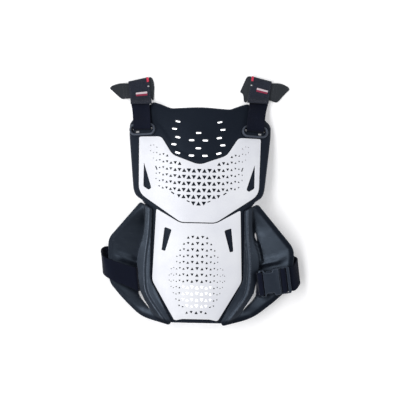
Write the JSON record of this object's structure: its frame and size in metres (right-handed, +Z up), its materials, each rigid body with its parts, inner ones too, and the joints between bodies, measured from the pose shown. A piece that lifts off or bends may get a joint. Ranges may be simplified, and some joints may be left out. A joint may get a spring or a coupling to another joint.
{
  "type": "motocross chest protector",
  "caption": "front chest protector laid on its back: pierced white plates on a black chassis with side wings, shoulder straps with sewn cuffs and a waist belt with a side-release buckle",
  "frame": {"origin": "under the middle of the waist belt, on the surface that the protector lies on and in its middle plane", "axes": "+X to the right as seen from the front, +Y towards the shoulders, +Z up out of the chest"},
  "size_m": [0.4007, 0.5013, 0.0774],
  "materials": {
    "white_plastic": "moulded, satin gloss",
    "black_chassis": "moulded, fine grain",
    "black_wing": "moulded, satin",
    "black_keeper": "moulded, satin",
    "black_buckle": "moulded, satin",
    "black_webbing": "woven webbing",
    "cuff_fabric": "woven, brushed",
    "red_ribbon": "woven ribbon",
    "label_weave": "woven label, no text"
  },
  "bodies": {
    "root": {"chassis": "black_chassis", "chest_plate": "white_plastic", "abdomen_plate": "white_plastic", "wing_left": "black_wing", "wing_right": "black_wing", "keeper_left": "black_keeper", "keeper_right": "black_keeper", "shoulder_strap_left": "black_webbing", "shoulder_strap_right": "black_webbing", "cuff_left": "cuff_fabric", "cuff_right": "cuff_fabric", "tab_strap_left": "black_webbing", "tab_strap_right": "black_webbing", "pull_tab_left": "red_ribbon", "pull_tab_right": "red_ribbon", "label_left": "label_weave", "label_right": "label_weave", "waist_belt": "black_webbing", "buckle_anchor": "black_webbing", "buckle_socket": "black_buckle", "buckle_plug": "black_buckle"}
  },
  "joints": []
}
